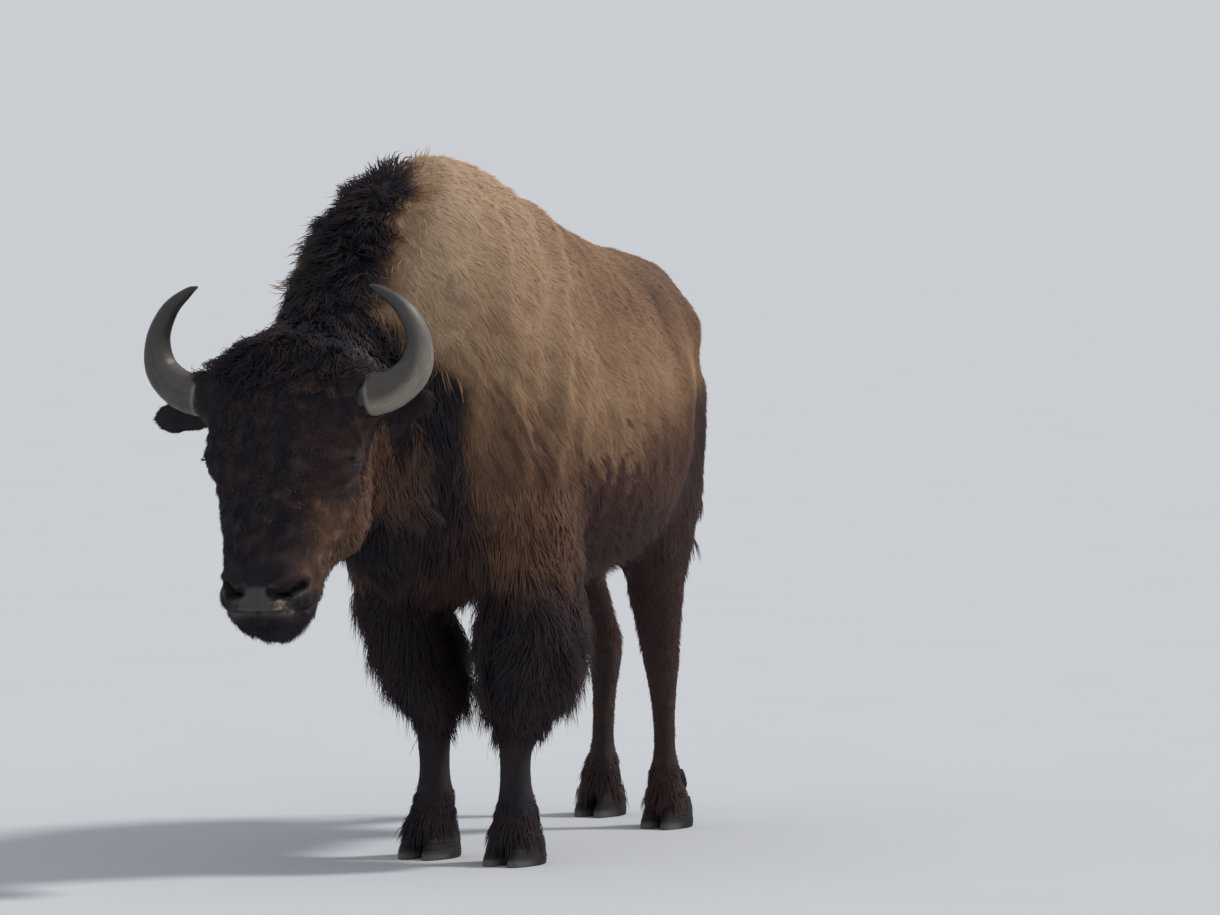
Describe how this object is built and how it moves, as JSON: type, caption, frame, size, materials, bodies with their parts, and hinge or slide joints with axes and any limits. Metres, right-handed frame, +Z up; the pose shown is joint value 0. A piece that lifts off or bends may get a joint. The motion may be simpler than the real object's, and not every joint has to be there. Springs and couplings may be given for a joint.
{
  "type": "american bison cow, standing, full body model",
  "caption": "American bison cow standing at rest with her head low: light wool over hump, shoulders and flanks, dark mane, face and foreleg chaps, in-curved horns.",
  "frame": {"origin": "on the ground under the middle of the bounding box", "axes": "the animal faces -Y, its left side is +X, +Z is up"},
  "size_m": [0.7584, 1.952, 1.501],
  "materials": {
    "coat": "dense light brown wool",
    "dark_coat": "long near-black hair on head, mane and ears",
    "leg_coat": "dark brown hair, long on the forelegs, short below",
    "horn": "grey-tan horn darkening to a polished black tip",
    "hoof": "dull dark hoof",
    "eye": "wet dark brown eye"
  },
  "bodies": {
    "root": {"claw_fore_left_inner": "hoof", "claw_fore_left_outer": "hoof", "claw_fore_right_inner": "hoof", "claw_fore_right_outer": "hoof", "claw_hind_left_inner": "hoof", "claw_hind_left_outer": "hoof", "claw_hind_right_inner": "hoof", "claw_hind_right_outer": "hoof", "dewclaw_fore_left_inner": "hoof", "dewclaw_fore_left_outer": "hoof", "dewclaw_fore_right_inner": "hoof", "dewclaw_fore_right_outer": "hoof", "dewclaw_hind_left_inner": "hoof", "dewclaw_hind_left_outer": "hoof", "dewclaw_hind_right_inner": "hoof", "dewclaw_hind_right_outer": "hoof", "ear_left": "dark_coat", "ear_right": "dark_coat", "eye_left": "eye", "eye_right": "eye", "foreleg_left": "leg_coat", "foreleg_right": "leg_coat", "head": "dark_coat", "hindleg_left": "leg_coat", "hindleg_right": "leg_coat", "horn_left": "horn", "horn_right": "horn", "neck": "dark_coat", "tail": "leg_coat", "trunk": "coat"}
  },
  "joints": []
}
